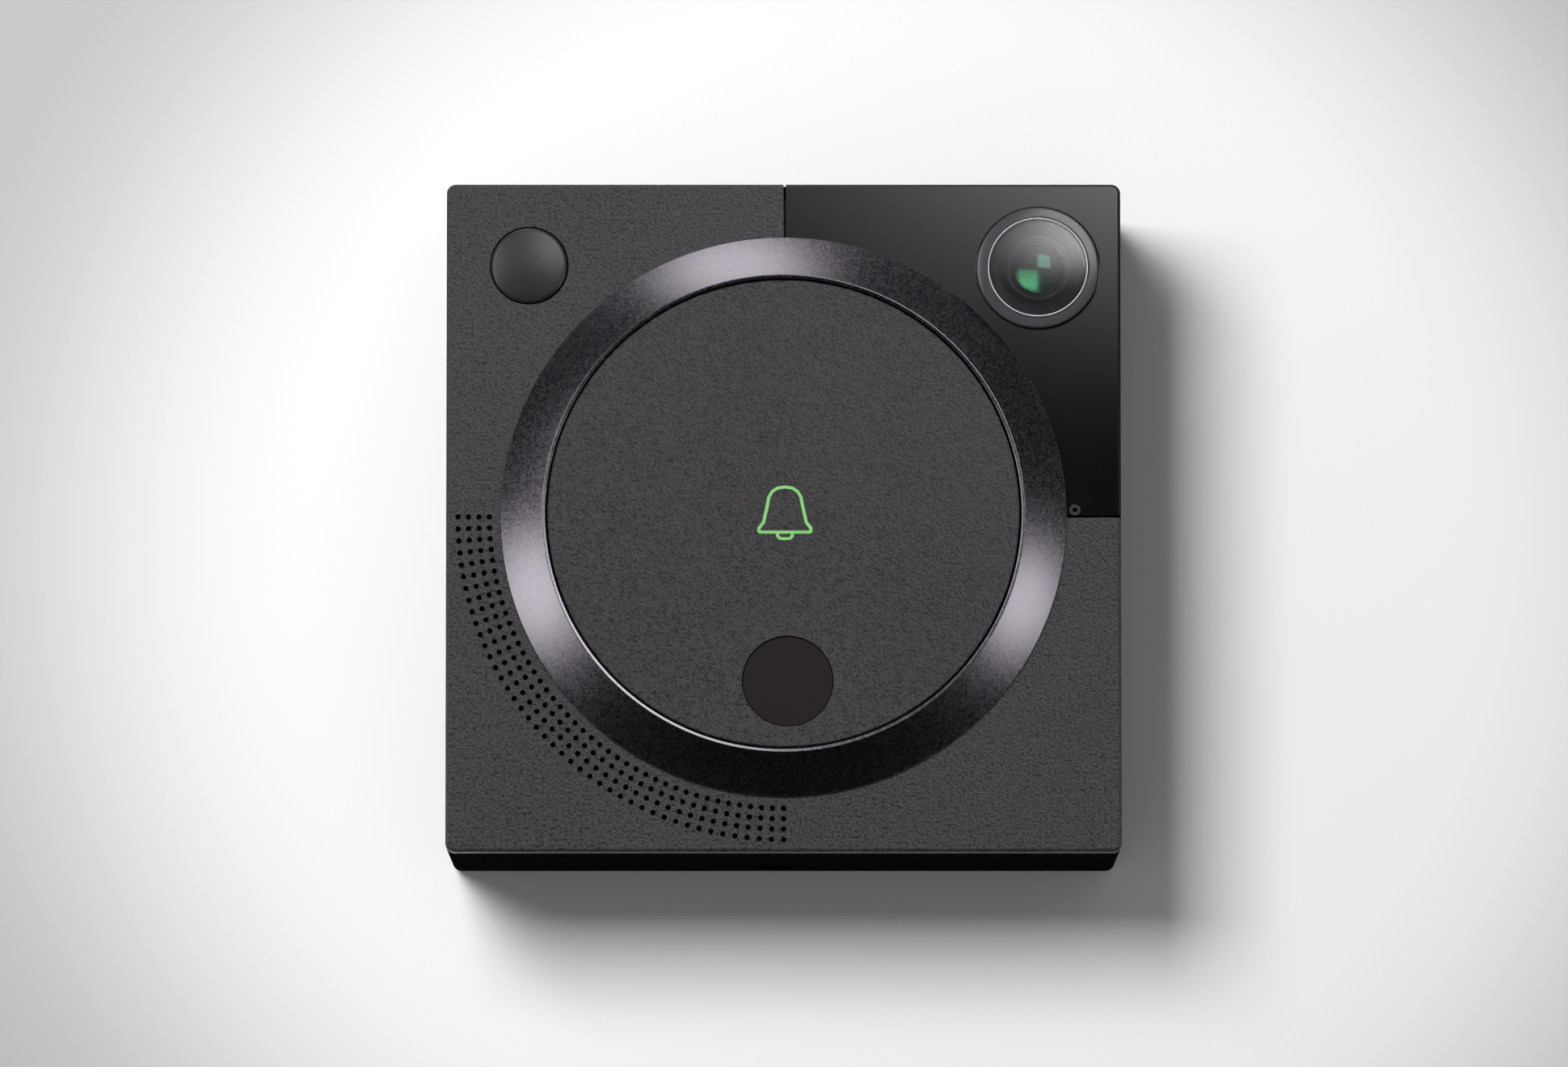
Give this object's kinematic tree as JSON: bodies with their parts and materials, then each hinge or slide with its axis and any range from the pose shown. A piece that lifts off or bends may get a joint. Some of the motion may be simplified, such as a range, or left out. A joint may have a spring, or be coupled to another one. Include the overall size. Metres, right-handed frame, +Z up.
{
  "type": "video doorbell",
  "caption": "Square wall-mounted video doorbell: dark textured face, black camera quadrant with clear lens dome, raised ring round a large sprung button, arc of sound holes",
  "frame": {"origin": "centre of the wall mounting face", "axes": "+X right seen from the front, +Z up, +Y into the wall; the front faces -Y and the wall plane is y=0"},
  "size_m": [0.0736, 0.023, 0.0736],
  "materials": {
    "front_plate": "fine textured dark grey powder coat",
    "window": "polished black acrylic",
    "ring": "bead-blasted, anodised dark grey",
    "cap": "fine bead-blasted dark grey",
    "icon": "translucent light green light guide",
    "inlay": "smooth brown-black disc",
    "housing": "spark-eroded black",
    "wall_plate": "moulded dark grey",
    "frame": "moulded dark grey",
    "carrier": "milky light-spreading plastic",
    "steel": "zinc-plated",
    "black_steel": "blackened",
    "spring": "drawn spring wire",
    "brass": "plated contact metal",
    "board": "green solder mask",
    "shield": "tinned shield",
    "pad": "soft grey heat pad",
    "spreader": "stamped sheet",
    "chip": "black moulded package",
    "can": "sleeved can",
    "flex": "amber film",
    "switch": "moulded black",
    "plunger": "natural moulded",
    "led": "clear lens over phosphor",
    "ir_led": "dark infrared epoxy",
    "dome": "clear hard-coated dome",
    "lens": "coated lens",
    "trim": "satin dark grey ring",
    "barrel": "black anodised",
    "seal": "moulded black",
    "sensor": "bare image chip under cover glass",
    "day_glass": "infrared-cut coating",
    "clear_glass": "plain",
    "motion": "smooth dark grey infrared-clear plastic",
    "sensor_can": "nickel-plated",
    "magnet": "nickel-plated",
    "cone": "pressed film cone",
    "coil": "enamelled copper winding",
    "mesh": "woven black mesh"
  },
  "bodies": {
    "housing": {"wall_plate": "wall_plate", "rear_housing": "housing", "security_screw": "black_steel", "housing_screws": "steel", "terminal_block": "chip", "terminal_screws": "steel", "terminal_pins": "brass", "main_board": "board", "processor_shield": "shield", "thermal_pad": "pad", "heat_spreader": "spreader", "memory_chip": "chip", "power_inductor": "chip", "bulk_capacitors": "can", "wifi_module": "shield", "wifi_antenna": "flex", "front_frame": "frame", "front_plate": "front_plate", "camera_window": "window", "bezel_ring": "ring", "button_springs": "spring", "switch_body": "switch", "light_board": "board", "icon_leds": "led", "lens_dome": "dome", "dome_seal": "seal", "lens_trim": "trim", "lens_barrel": "barrel", "front_lens": "lens", "rear_lens": "lens", "camera_holder": "frame", "camera_board": "board", "image_sensor": "sensor", "board_pillars": "steel", "slide_rails": "frame", "camera_flex": "flex", "ir_leds": "ir_led", "motion_lens": "motion", "motion_seal": "seal", "pir_sensor": "sensor_can", "speaker_basket": "frame", "speaker_magnet": "magnet", "speaker_gasket": "seal", "sound_mesh": "mesh", "microphone": "shield", "mic_port": "ring"},
    "button": {"button_cap": "cap", "bell_icon": "icon", "round_inlay": "inlay", "button_carrier": "carrier"},
    "plunger": {"switch_plunger": "plunger"},
    "filter_slide": {"ircut_slide": "chip", "day_filter": "day_glass", "night_filter": "clear_glass"},
    "cone": {"speaker_cone": "cone", "voice_coil": "coil"}
  },
  "joints": [
    {"name": "button_press", "type": "slide", "parent": "housing", "child": "button", "axis": [0, 1, 0], "range_m": [0, 0.0007], "stiffness_N_per_m": 1500, "springref_m": -0.0006, "deforming": ["button_springs"]},
    {"name": "switch_press", "type": "slide", "parent": "housing", "child": "plunger", "axis": [0, 1, 0], "range_m": [0, 0.0007]},
    {"name": "filter_shift", "type": "slide", "parent": "housing", "child": "filter_slide", "axis": [-1, 0, 0], "range_m": [0, 0.0034]},
    {"name": "cone_stroke", "type": "slide", "parent": "housing", "child": "cone", "axis": [0, -1, 0], "range_m": [-0.0004, 0.0004], "stiffness_N_per_m": 900}
  ],
  "couplings": [
    {"joint": "switch_press", "follows": "button_press", "ratio": 1}
  ]
}
